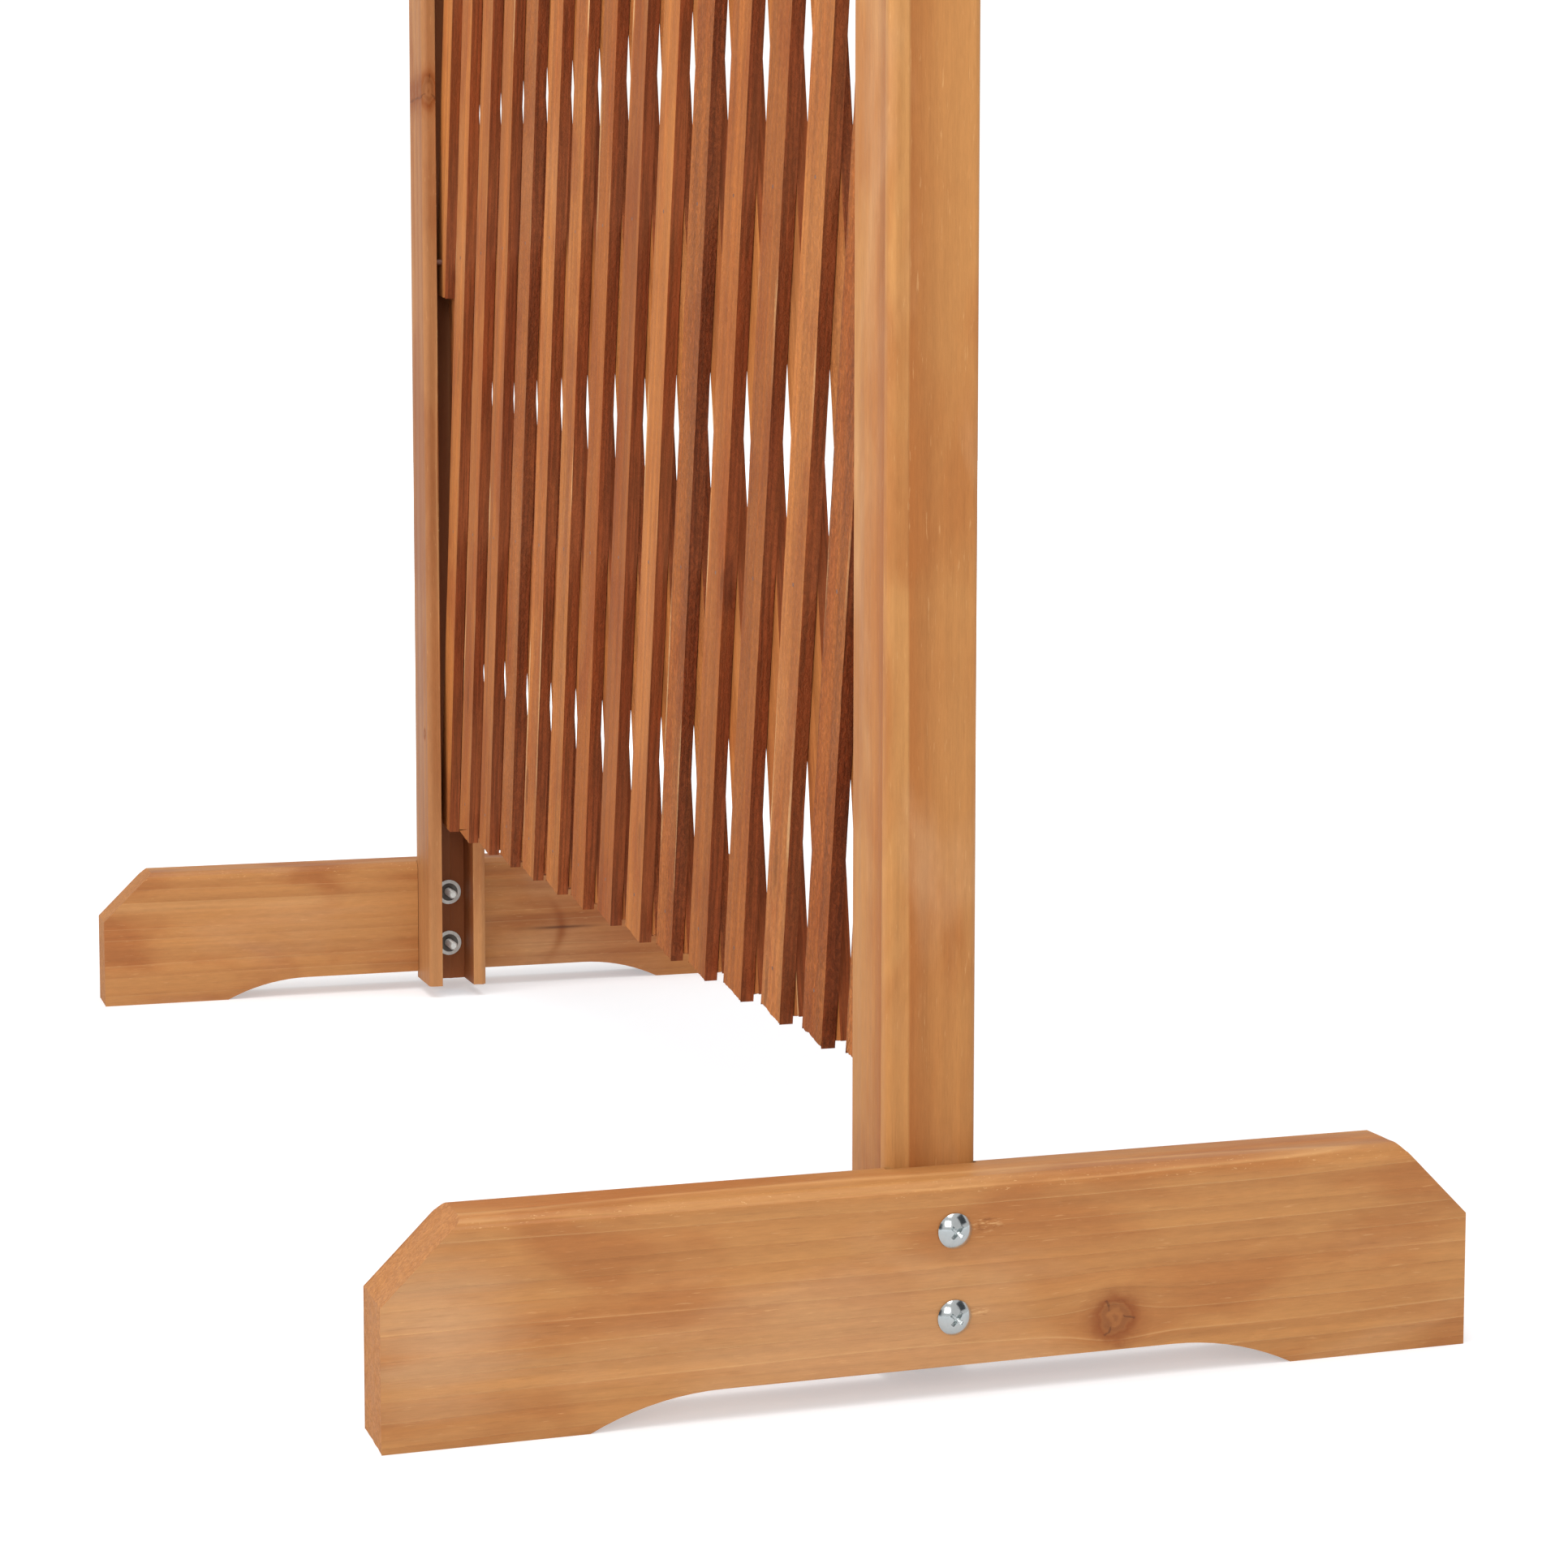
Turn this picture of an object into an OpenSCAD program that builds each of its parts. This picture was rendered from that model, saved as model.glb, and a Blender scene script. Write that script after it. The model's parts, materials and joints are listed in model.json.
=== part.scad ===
// An expandable wooden trellis that stands by itself: a scissor lattice of thin slats, pinned where
// they cross, between two grooved posts on feet. It is drawn part open. X runs along the lattice, with
// the near post at +X and the rear post at -X, Y runs along the feet, and Z is up from the ground.

/* [Feet] */
// Length of a foot
foot_l = 500; // [420:5:640]
// Height of a foot
foot_h = 95; // [85:1:120]
// Thickness of a foot
foot_t = 36; // [30:1:46]
// Length of the sloping cut at each top corner
corner_cut_l = 34; // [15:1:60]
// Height of the sloping cut at each top corner
corner_cut_h = 34; // [15:1:45]
// Radius of the two long top edges
foot_edge_r = 6; // [2:0.5:12]
// Length of the flat pad under each end
pad_l = 88; // [60:1:110]
// Height of the arch between the pads
arch_h = 13.5; // [9:0.5:20]
// Length of the curved rise from a pad to the top of the arch
arch_rise_l = 58; // [40:1:80]

/* [Posts] */
// Width of a post, along the foot
post_w = 42; // [36:1:60]
// Depth of a post, along the lattice
post_d = 48; // [44:1:70]
// Height of a post's top end above the lattice's top row of pins
post_over_pins = 38.5; // [36:0.5:80]
// Height of a post's lower end above the ground
post_base = 8; // [3:0.5:12]
// Radius of the post's long corners
post_edge_r = 4; // [1:0.5:8]
// Width of the groove for the lattice
groove_w = 23; // [20:0.5:28]
// Depth of the groove for the lattice
groove_d = 32; // [28:0.5:36]
// Depth that a post is let into its foot
let_in = 8; // [4:0.5:12]

/* [Lattice] */
// Width of a slat
slat_w = 30; // [22:1:34]
// Thickness of a slat
slat_t = 7; // [5:0.5:8]
// Distance between neighbouring pins along a slat
pin_pitch = 195; // [175:1:200]
// Length of a slat past its last pin
slat_end = 25; // [20:1:28]
// Angle of the slats from upright
lean = 9.425; // [8:0.005:14]
// Height of the lattice's lowest row of pins above the ground
first_row_z = 149; // [135:1:190]
// Distance of the outermost pins from the mouth of the groove
edge_in = 5; // [4:0.5:8]
// Radius on the slat corners that ride in a groove
edge_corner_r = 10; // [2:0.5:12]
// Radius on the other slat corners
end_corner_r = 1.2; // [0.4:0.1:3]
// Air between the two layers of slats
layer_gap = 0.4; // [0.2:0.1:1]

/* [Pins] */
// Diameter of a lattice pin
pin_d = 2; // [1.6:0.1:4]
// Diameter of a pin's head
pin_head_d = 5.5; // [5:0.5:9]
// Height of a pin's head
pin_head_h = 1; // [0.8:0.1:2]
// Diameter of a pivot screw
screw_d = 4; // [3.5:0.5:5]
// Diameter of a pivot screw's head
screw_head_d = 8.4; // [7:0.2:12]
// Height of a pivot screw's head
screw_head_h = 2.6; // [2:0.1:3.5]
// Width of the slots of the cross in a pivot screw's head
screw_slot_w = 1; // [0.6:0.1:1.5]
// Depth that a pivot screw bites into the front of its post
screw_bite = 6; // [4:0.5:7]

/* [Bolts] */
// Diameter of a bolt
bolt_d = 6; // [5:0.5:8]
// Length of a bolt under its head
bolt_l = 60; // [58:1:70]
// Diameter of a bolt's head
bolt_head_d = 15.5; // [12:0.5:20]
// Height of a bolt's head
bolt_head_h = 4; // [3:0.2:6]
// Width of the slots of the cross in a bolt's head
bolt_slot_w = 1.4; // [1:0.1:2]
// Height of the lower bolt above the ground
bolt_low_z = 35; // [30:1:40]
// Distance between the two bolts of a foot
bolt_pitch = 38; // [34:1:44]
// Diameter of a tee nut's flange
nut_flange_d = 18; // [16:0.5:20]
// Thickness of a tee nut's flange
nut_flange_t = 1.5; // [1:0.1:2]
// Diameter of a tee nut's barrel
nut_barrel_d = 8; // [7.5:0.1:9]
// Length of a tee nut's barrel
nut_barrel_l = 9; // [6:0.5:12]
// Length of a tee nut's prongs
prong_l = 6; // [4:0.5:8]
// Width of a tee nut's prongs
prong_w = 3; // [2:0.1:4]
// Thickness of a tee nut's prongs
prong_t = 1.2; // [0.8:0.1:1.5]
// Distance of a tee nut's prongs from the rim of its flange
prong_inset = 0.8; // [0.4:0.1:1.5]

/* [Clearances] */
// Air between a post and each side of its housing in the foot
housing_fit = 0.3; // [0.1:0.1:0.8]
// Air round a lattice pin or a pivot screw in its holes
pin_fit = 0.05; // [0.03:0.01:0.1]
// Air round a bolt in wood
bolt_fit = 0.25; // [0.15:0.05:0.5]
// Air round a bolt in its tee nut
thread_fit = 0.05; // [0.03:0.01:0.1]
// Air round a tee nut's barrel and prongs
nut_fit = 0.05; // [0.02:0.01:0.1]

/* [Hidden] */
$fn = 64;

// Columns of pins are counted from the rear edge and rows from the bottom. A pin stands where the
// column and the row are both even or both odd, so the number of columns stays odd.
last_col = 29;
last_row = 5;

// Each post holds the lattice by one screw, in place of a pin at its edge
near_pivot_row = 3;
rear_pivot_row = 2;

front_count = (last_col + last_row) / 2;
back_count = front_count - 1;

col_step = pin_pitch * sin(lean);
row_step = pin_pitch * cos(lean);
edge_x = last_col * col_step / 2;

post_top = row_z(last_row) + post_over_pins;
mouth_x = edge_x - edge_in;
web_x = mouth_x + groove_d;
post_outer_x = mouth_x + post_d;
foot_inner_x = post_outer_x - let_in;
foot_outer_x = foot_inner_x + foot_t;

pad_inner_y = foot_l / 2 - pad_l;
arch_flat_y = pad_inner_y - arch_rise_l;
arch_rise_r = (pow(arch_rise_l, 2) + pow(arch_h, 2)) / (2 * arch_h);

slat_front_y = -layer_gap / 2 - slat_t;
slat_back_y = layer_gap / 2 + slat_t;
pin_hole_d = pin_d + 2 * pin_fit;
screw_hole_d = screw_d + 2 * pin_fit;
bolt_hole_d = bolt_d + 2 * bolt_fit;
bolt_zs = [bolt_low_z, bolt_low_z + bolt_pitch];

foot_wood = [0.80, 0.55, 0.32];
post_wood = [0.82, 0.58, 0.35];
front_wood = [0.67, 0.40, 0.24];
back_wood = [0.58, 0.33, 0.19];
steel = [0.80, 0.81, 0.83];

// A little more than nothing, so that a cut goes through the face it starts from
past = 1;

function col_x(col) = -edge_x + col * col_step;
function row_z(row) = first_row_z + row * row_step;

// A front slat leans towards the near post: its pins have one value of column minus row. A back slat
// leans away from it: its pins have one value of column plus row.
function front_sum(i) = 2 * i - last_row - 1;
function back_sum(i) = 2 * i;
function front_first(i) = max(0, front_sum(i));
function front_last(i) = min(last_col, front_sum(i) + last_row);
function back_first(i) = max(0, back_sum(i) - last_row);
function back_last(i) = min(last_col, back_sum(i));

function is_near_pivot(col, row) = col == last_col && row == near_pivot_row;
function is_rear_pivot(col, row) = col == 0 && row == rear_pivot_row;
function is_pivot(col, row) = is_near_pivot(col, row) || is_rear_pivot(col, row);
function hole_at(col, row) = is_pivot(col, row) ? screw_hole_d : pin_hole_d;

// The lattice's first and last corners have a front slat's end alone, with no hole
function is_crossing(col, row) = col + row >= back_sum(1) && col + row <= back_sum(back_count);

// What lies outside a quarter circle in the corner of a square
module corner_waste(r) {
    translate([-past, -past]) difference() {
        square(r + past);
        translate([r + past, r + past]) circle(r = r);
    }
}

// A foot seen from the end of the lattice
module foot_outline() {
    difference() {
        polygon([
            [-foot_l / 2, 0],
            [foot_l / 2, 0],
            [foot_l / 2, foot_h - corner_cut_h],
            [foot_l / 2 - corner_cut_l, foot_h],
            [-foot_l / 2 + corner_cut_l, foot_h],
            [-foot_l / 2, foot_h - corner_cut_h]
        ]);
        translate([-arch_flat_y, -past]) square([2 * arch_flat_y, arch_h + past]);
        for (side = [-1, 1]) scale([side, 1]) arch_end();
    }
}

// The curved end of the arch, on the side of +Y
module arch_end() {
    intersection() {
        translate([arch_flat_y, arch_h - arch_rise_r]) circle(r = arch_rise_r, $fn = 180);
        translate([arch_flat_y - past, -past]) square([arch_rise_l + 2 * past, arch_h + past]);
    }
}

// A foot's cross-section, with its two long top edges rounded
module foot_section() {
    difference() {
        square([foot_t, foot_h]);
        translate([0, foot_h]) scale([1, -1]) corner_waste(foot_edge_r);
        translate([foot_t, foot_h]) scale([-1, -1]) corner_waste(foot_edge_r);
    }
}

// The foot on the +X side
module foot() {
    difference() {
        intersection() {
            translate([foot_inner_x, 0, 0]) rotate([90, 0, 90]) linear_extrude(foot_t) foot_outline();
            translate([foot_inner_x, foot_l / 2 + past, 0])
                rotate([90, 0, 0]) linear_extrude(foot_l + 2 * past) foot_section();
        }
        translate([foot_inner_x - past, -post_w / 2 - housing_fit, -past])
            cube([let_in + past, post_w + 2 * housing_fit, foot_h + 2 * past]);
        for (z = bolt_zs) translate([foot_inner_x, 0, z])
            rotate([0, 90, 0]) cylinder(d = bolt_hole_d, h = foot_t + past);
    }
}

// A post's cross-section, with the mouth of its groove towards -X
module post_section() {
    difference() {
        translate([mouth_x, -post_w / 2]) square([post_d, post_w]);
        translate([mouth_x - past, -groove_w / 2]) square([groove_d + past, groove_w]);
        for (side = [-1, 1]) {
            translate([mouth_x, side * post_w / 2]) scale([1, -side]) corner_waste(post_edge_r);
            translate([post_outer_x, side * post_w / 2]) scale([-1, -side]) corner_waste(post_edge_r);
        }
    }
}

// The post on the +X side, with its pivot screw's hole at a row of pins
module post(pivot_row) {
    difference() {
        translate([0, 0, post_base]) linear_extrude(post_top - post_base) post_section();
        for (z = bolt_zs) translate([web_x, 0, z]) rotate([0, 90, 0]) {
            translate([0, 0, -past]) cylinder(d = bolt_hole_d, h = post_d - groove_d + 2 * past);
            translate([0, 0, -past]) cylinder(d = nut_barrel_d + 2 * nut_fit, h = nut_barrel_l + past);
            prongs(nut_fit);
        }
        translate([edge_x, -groove_w / 2 - screw_bite, row_z(pivot_row)])
            rotate([-90, 0, 0]) cylinder(d = screw_hole_d, h = post_w);
    }
}

// A cross-headed screw head that stands on z = 0 and is domed towards +Z
module cross_head(head_d, head_h, slot_w) {
    dome_r = (pow(head_d / 2, 2) + pow(head_h, 2)) / (2 * head_h);
    difference() {
        rotate_extrude() intersection() {
            translate([0, head_h - dome_r]) circle(r = dome_r, $fn = 128);
            square([head_d / 2, head_h]);
        }
        for (turn = [45, 135]) rotate([0, 0, turn])
            translate([-head_d * 0.22, -slot_w / 2, head_h * 0.35]) cube([head_d * 0.44, slot_w, head_h]);
    }
}

// A bolt along +Z, with the underside of its head at z = 0
module bolt() {
    cross_head(bolt_head_d, bolt_head_h, bolt_slot_w);
    translate([0, 0, -bolt_l + bolt_d / 8]) cylinder(d = bolt_d, h = bolt_l - bolt_d / 8);
    translate([0, 0, -bolt_l]) cylinder(d1 = bolt_d * 0.75, d2 = bolt_d, h = bolt_d / 8);
}

// A tee nut's prongs, from the underside of its flange at z = 0 towards +Z
module prongs(air) {
    for (turn = [0 : 90 : 270]) rotate([0, 0, turn + 45])
        translate([nut_flange_d / 2 - prong_inset - prong_t - air, -prong_w / 2 - air, -air])
            cube([prong_t + 2 * air, prong_w + 2 * air, prong_l + 2 * air]);
}

module tee_nut() {
    difference() {
        union() {
            translate([0, 0, -nut_flange_t]) cylinder(d = nut_flange_d, h = nut_flange_t);
            cylinder(d = nut_barrel_d, h = nut_barrel_l);
            prongs(0);
        }
        translate([0, 0, -nut_flange_t - past])
            cylinder(d = bolt_d + 2 * thread_fit, h = nut_flange_t + nut_barrel_l + 2 * past);
    }
}

// The outline of a slat along +Y from its first pin. Each end has the radii of its two corners.
module slat_outline(length, low_radii, high_radii) {
    difference() {
        translate([-slat_w / 2, -slat_end]) square([slat_w, length + 2 * slat_end]);
        translate([-slat_w / 2, -slat_end]) corner_waste(low_radii[0]);
        translate([slat_w / 2, -slat_end]) scale([-1, 1]) corner_waste(low_radii[1]);
        translate([-slat_w / 2, length + slat_end]) scale([1, -1]) corner_waste(high_radii[0]);
        translate([slat_w / 2, length + slat_end]) scale([-1, -1]) corner_waste(high_radii[1]);
    }
}

function radius_if(rides) = rides ? edge_corner_r : end_corner_r;

module front_slat(i) {
    first = front_first(i);
    last = front_last(i);
    low = [radius_if(first == 0), end_corner_r];
    high = [end_corner_r, radius_if(last == last_col)];
    color(front_wood)
        translate([col_x(first), -layer_gap / 2, row_z(first - front_sum(i))])
        rotate([90, 0, 0]) rotate([0, 0, -lean]) linear_extrude(slat_t) difference() {
            slat_outline((last - first) * pin_pitch, low, high);
            for (col = [first : last]) {
                row = col - front_sum(i);
                if (is_crossing(col, row))
                    translate([0, (col - first) * pin_pitch]) circle(d = hole_at(col, row));
            }
        }
}

module back_slat(i) {
    first = back_first(i);
    last = back_last(i);
    low = [end_corner_r, radius_if(last == last_col)];
    high = [radius_if(first == 0), end_corner_r];
    color(back_wood)
        translate([col_x(last), slat_back_y, row_z(back_sum(i) - last)])
        rotate([90, 0, 0]) rotate([0, 0, lean]) linear_extrude(slat_t) difference() {
            slat_outline((last - first) * pin_pitch, low, high);
            for (col = [first : last]) translate([0, (last - col) * pin_pitch])
                circle(d = hole_at(col, back_sum(i) - col));
        }
}

// A pin along +Z: its tip at z = 0 and its head at the top
module pin() {
    shank = slat_back_y - slat_front_y;
    rotate_extrude() {
        square([pin_d / 2, shank + pin_head_h / 2]);
        translate([0, shank]) intersection() {
            translate([0, pin_head_h - pin_head_r()]) circle(r = pin_head_r(), $fn = 96);
            square([pin_head_d / 2, pin_head_h]);
        }
    }
}

function pin_head_r() = (pow(pin_head_d / 2, 2) + pow(pin_head_h, 2)) / (2 * pin_head_h);

module pin_at(col, row) {
    translate([col_x(col), slat_front_y, row_z(row)]) rotate([-90, 0, 0]) pin();
}

// The pins of one back slat, which has a pivot screw in place of a pin where it meets one
module pins(i) {
    color(steel) for (col = [back_first(i) : back_last(i)]) {
        row = back_sum(i) - col;
        if (!is_pivot(col, row)) pin_at(col, row);
    }
}

// A wood screw through the back of the +X post and both layers, into the front of the post
module pivot_screw(pivot_row) {
    tip_y = -groove_w / 2 - screw_bite;
    color(steel) translate([edge_x, 0, row_z(pivot_row)]) {
        translate([0, post_w / 2, 0])
            rotate([-90, 0, 0]) cross_head(screw_head_d, screw_head_h, screw_slot_w);
        translate([0, tip_y + screw_d, 0])
            rotate([-90, 0, 0]) cylinder(d = screw_d, h = post_w / 2 - tip_y - screw_d);
        translate([0, tip_y, 0]) rotate([-90, 0, 0]) cylinder(d1 = 1, d2 = screw_d, h = screw_d);
    }
}

module near_pivot_screw() {
    pivot_screw(near_pivot_row);
}

module near_bolts() {
    color(steel) for (z = bolt_zs) translate([foot_outer_x, 0, z]) rotate([0, 90, 0]) bolt();
}

module near_tee_nuts() {
    color(steel) for (z = bolt_zs) translate([web_x, 0, z]) rotate([0, 90, 0]) tee_nut();
}

module near_foot() {
    color(foot_wood) foot();
}

module near_post() {
    color(post_wood) post(near_pivot_row);
}

// The rear end mirrors the near end
module rear_foot() {
    mirror([1, 0, 0]) near_foot();
}

module rear_post() {
    color(post_wood) mirror([1, 0, 0]) post(rear_pivot_row);
}

module rear_bolts() {
    mirror([1, 0, 0]) near_bolts();
}

module rear_tee_nuts() {
    mirror([1, 0, 0]) near_tee_nuts();
}

module rear_pivot_screw() {
    mirror([1, 0, 0]) pivot_screw(rear_pivot_row);
}

near_foot();
rear_foot();
near_post();
rear_post();
near_bolts();
rear_bolts();
near_tee_nuts();
rear_tee_nuts();
near_pivot_screw();
rear_pivot_screw();
for (i = [1 : front_count]) front_slat(i);
for (i = [1 : back_count]) back_slat(i);
for (i = [1 : back_count]) pins(i);
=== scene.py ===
"""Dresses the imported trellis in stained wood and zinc, and sets the photograph's view of it.

Lengths are in metres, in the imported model's frame: X along the lattice, Y along the feet, Z up."""

import json
import math
import random

import bmesh
import bpy
from mathutils import Euler, Matrix, Vector, noise

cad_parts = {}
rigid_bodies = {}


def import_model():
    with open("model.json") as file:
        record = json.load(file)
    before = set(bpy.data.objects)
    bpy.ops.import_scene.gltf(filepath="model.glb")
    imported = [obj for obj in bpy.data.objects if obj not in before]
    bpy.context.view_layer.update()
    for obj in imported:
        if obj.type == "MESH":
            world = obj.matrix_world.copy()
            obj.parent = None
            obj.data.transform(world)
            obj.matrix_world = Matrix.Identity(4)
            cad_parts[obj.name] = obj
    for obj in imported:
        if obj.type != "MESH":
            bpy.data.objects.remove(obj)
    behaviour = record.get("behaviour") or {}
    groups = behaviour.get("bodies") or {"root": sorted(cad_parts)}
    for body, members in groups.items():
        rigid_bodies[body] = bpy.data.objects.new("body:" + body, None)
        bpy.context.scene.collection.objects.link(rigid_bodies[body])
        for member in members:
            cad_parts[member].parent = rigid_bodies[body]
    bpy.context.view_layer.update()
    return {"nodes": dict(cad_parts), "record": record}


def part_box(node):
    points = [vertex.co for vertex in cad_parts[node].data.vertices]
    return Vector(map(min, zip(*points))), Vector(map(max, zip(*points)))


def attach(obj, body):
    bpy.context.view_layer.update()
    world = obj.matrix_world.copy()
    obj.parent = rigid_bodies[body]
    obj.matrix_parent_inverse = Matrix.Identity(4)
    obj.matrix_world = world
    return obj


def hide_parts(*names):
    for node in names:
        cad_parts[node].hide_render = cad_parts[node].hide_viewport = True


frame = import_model()
scene = bpy.context.scene

# Sizes repeated from the part's source
LEAN = math.radians(9.425)
SLAT_HALF_WIDTH = 0.015
GROOVE_HALF_WIDTH = 0.0115
POST_MOUTH_X = 0.45801
POST_OUTER_X = 0.50601
FOOT_OUTER_X = 0.53401
BOLT_HEIGHTS = (0.035, 0.073)
BOLT_LENGTH = 0.060
BOLT_RADIUS = 0.003
HEAD_RADIUS = 0.00775
HEAD_HEIGHT = 0.004
FRONT_SLATS = 17
BACK_SLATS = 16

# How a CAD mesh is welded, flattened and shaded
WELD = 2e-6
FLAT_ANGLE = math.radians(0.3)
SMOOTH_ANGLE = math.radians(16)

# What the saw and the plane left of the edges, ends and faces
FOOT_ARRIS = 0.0012
FOOT_TOP_WEAR = 0.4
POST_ARRIS = 0.0006
SLAT_ARRIS = 0.0004
FOOT_ENDS = {"reach": 0.03, "cell": 0.0024, "depth": 0.0008}
POST_ENDS = {"reach": 0.004, "cell": 0.0024, "depth": 0.0007}
SLAT_ENDS = {"reach": 0.002, "cell": 0.0012}
SLAT_TEAR, COARSE_TEAR = 0.0014, 0.0024
TEARS_A_METRE, WAVES_A_METRE = 900, 130
SLAT_STRIP = 0.011
SLAT_BOW, BOWS_A_METRE = 0.0012, 4.5
# A slat's uneven width: how far it goes, how often in a metre, and a seed
SLAT_WIDTH_WAVES = ((0.001, 6.0, 7.3), (0.0004, 40, 3.1))
SAW_TEETH, TEETH_A_METRE, TEETH_THROUGH = 0.0004, 170, 90
# How rough the saw left the front slats that the photograph shows from close by
ROUGH_SAWN = {17: 1.0, 16: 0.85, 15: 0.55, 14: 0.5, 13: 0.4, 12: 0.8}
SLAT_SEED = 20

# Metal that only the scene shows
BOLT_SIDES = 72
THREAD_LENGTH = 0.024
THREAD_PITCH = 0.001
THREAD_DEPTH = 0.00055
THREAD_STEPS = 8
HEAD_RIM = 0.0007
HEAD_RIM_EASE = 0.0003
DOME_STEPS = 15
NUT_ARRIS = 0.00018
SCREW_ARRIS = 0.00012
FUNNEL_SIDES = 64
# Where a tee nut's barrel opens into its flange: height over the flange's face, and radius
FUNNEL = (
    (-0.0024, 0.0029), (-0.0017, 0.0035), (-0.0011, 0.0042), (-0.0009, 0.0050),
    (-0.0007, 0.0057), (-0.0004, 0.0062), (0.0, 0.0065), (0.0006, 0.0067),
)

ORIGIN = (0.0, 0.0, 0.0)
X, Y, Z = Vector((1, 0, 0)), Vector((0, 1, 0)), Vector((0, 0, 1))

# Turns that stand a board's grain upright
LAYING = (math.pi / 2, 0, 0)
UPRIGHT = (0, 0, 0)
FRONT_TURN = (0, -LEAN, 0)
BACK_TURN = (0, LEAN, 0)

body_of = {
    node: body
    for body, nodes in frame["record"]["behaviour"]["bodies"].items()
    for node in nodes
}


# Wiring of materials


def tint(red, green, blue):
    """A colour from its screen values, 0 to 255."""
    def linear(value):
        value /= 255
        return value / 12.92 if value <= 0.04045 else ((value + 0.055) / 1.055) ** 2.4

    return (linear(red), linear(green), linear(blue), 1)


class Wiring:
    """Adds nodes to one material or effect, and links them."""

    def __init__(self, tree):
        self.tree = tree

    def put(self, value, socket):
        """Links a socket to the input, or sets the input to a constant."""
        if isinstance(value, bpy.types.NodeSocket):
            self.tree.links.new(value, socket)
        else:
            socket.default_value = value

    def add(self, kind, inputs=None, **settings):
        node = self.tree.nodes.new("ShaderNode" + kind)
        for name, value in settings.items():
            setattr(node, name, value)
        for name, value in (inputs or {}).items():
            self.put(value, node.inputs[name])
        return node

    def sum(self, what, *values, clamp=False):
        """One step of arithmetic."""
        node = self.add("Math", operation=what, use_clamp=clamp)
        for value, socket in zip(values, node.inputs):
            self.put(value, socket)
        return node.outputs[0]

    def vector(self, what, *values, out=0):
        node = self.add("VectorMath", operation=what)
        for value, socket in zip(values, node.inputs):
            self.put(value, socket)
        return node.outputs[out]

    def mix(self, share, low, high, how="MIX"):
        node = self.add("Mix", data_type="RGBA", blend_type=how, clamp_factor=True)
        for value, place in ((share, 0), (low, 6), (high, 7)):
            self.put(value, node.inputs[place])
        return node.outputs[2]

    def lay(self, colour, mask, weight, shade):
        """Lays a shade over a colour where the mask is, by at most the weight."""
        return self.mix(self.sum("MULTIPLY", mask, weight), colour, shade)

    def dim(self, colour, value):
        """A colour made darker or brighter by a value."""
        return self.mix(1.0, colour, self.even(value), how="MULTIPLY")

    def even(self, value):
        """The same value on all three axes."""
        return self.add("CombineXYZ", {axis: value for axis in range(3)}).outputs[0]

    def scale(self, value, low, high, to_low=0.0, to_high=1.0, smooth=True):
        """Takes low..high to to_low..to_high, and keeps within them."""
        kind = "SMOOTHSTEP" if smooth else "LINEAR"
        inputs = {0: value, 1: low, 2: high, 3: to_low, 4: to_high}
        return self.add("MapRange", inputs, interpolation_type=kind).outputs[0]

    def times(self, vector, number):
        node = self.add("VectorMath", operation="SCALE")
        self.put(vector, node.inputs[0])
        self.put(number, node.inputs["Scale"])
        return node.outputs[0]

    def stretch(self, place, x, y, z):
        return self.vector("MULTIPLY", place, (x, y, z))

    def cloud(self, place, detail=2.0, roughness=0.5, distortion=0.0, out=0):
        inputs = {"Vector": place, "Scale": 1.0, "Detail": detail, "Roughness": roughness}
        inputs["Distortion"] = distortion
        return self.add("TexNoise", inputs).outputs[out]

    def sway(self, place, detail):
        """A vector that wanders about zero from place to place."""
        return self.vector("SUBTRACT", self.cloud(place, detail=detail, out=1), (0.5, 0.5, 0.5))

    def bell(self, x, z):
        """One in the middle, and falling to nothing a unit or two away."""
        square = self.sum("MULTIPLY_ADD", x, x, self.sum("MULTIPLY", z, z))
        return self.sum("EXPONENT", self.sum("MULTIPLY", square, -1.0))

    def turn(self, vector, angles):
        inputs = {"Vector": vector, "Rotation": angles}
        return self.add("VectorRotate", inputs, rotation_type="EULER_XYZ").outputs[0]

    def ramp(self, value, stops):
        """A grey for each value, from stops of a position and a level."""
        node = self.add("ValToRGB", {0: value})
        band = node.color_ramp
        band.elements[0].position, band.elements[-1].position = stops[0][0], stops[-1][0]
        for position, _ in stops[1:-1]:
            band.elements.new(position)
        for element, (_, level) in zip(band.elements, stops):
            element.color = (level, level, level, 1)
        return node.outputs[0]

    def effect(self, group, **inputs):
        """A shared effect with its inputs, and what it gives."""
        node = self.add("Group", node_tree=group)
        for name, value in inputs.items():
            self.put(value, node.inputs[name.replace("_", " ")])
        return node.outputs

    def attribute(self, name):
        return self.add("Attribute", attribute_name=name).outputs["Fac"]


def new_material(name):
    """A material, the wiring of its nodes, and its surface."""
    material = bpy.data.materials.new(name)
    material.use_nodes = True
    return material, Wiring(material.node_tree), material.node_tree.nodes["Principled BSDF"]


def new_effect(name, takes, *gives):
    """An empty effect: takes names each input with its start value, gives names each output."""
    group = bpy.data.node_groups.new(name, "ShaderNodeTree")
    for label, start in takes.items():
        kind = "Vector" if isinstance(start, tuple) else "Float"
        socket = group.interface.new_socket(label, in_out="INPUT", socket_type="NodeSocket" + kind)
        socket.default_value = start
    for label in gives:
        group.interface.new_socket(label, in_out="OUTPUT", socket_type="NodeSocketFloat")
    inside = group.nodes.new("NodeGroupInput").outputs
    outside = group.nodes.new("NodeGroupOutput").inputs
    return group, Wiring(group), inside, outside


# Effects


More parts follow.
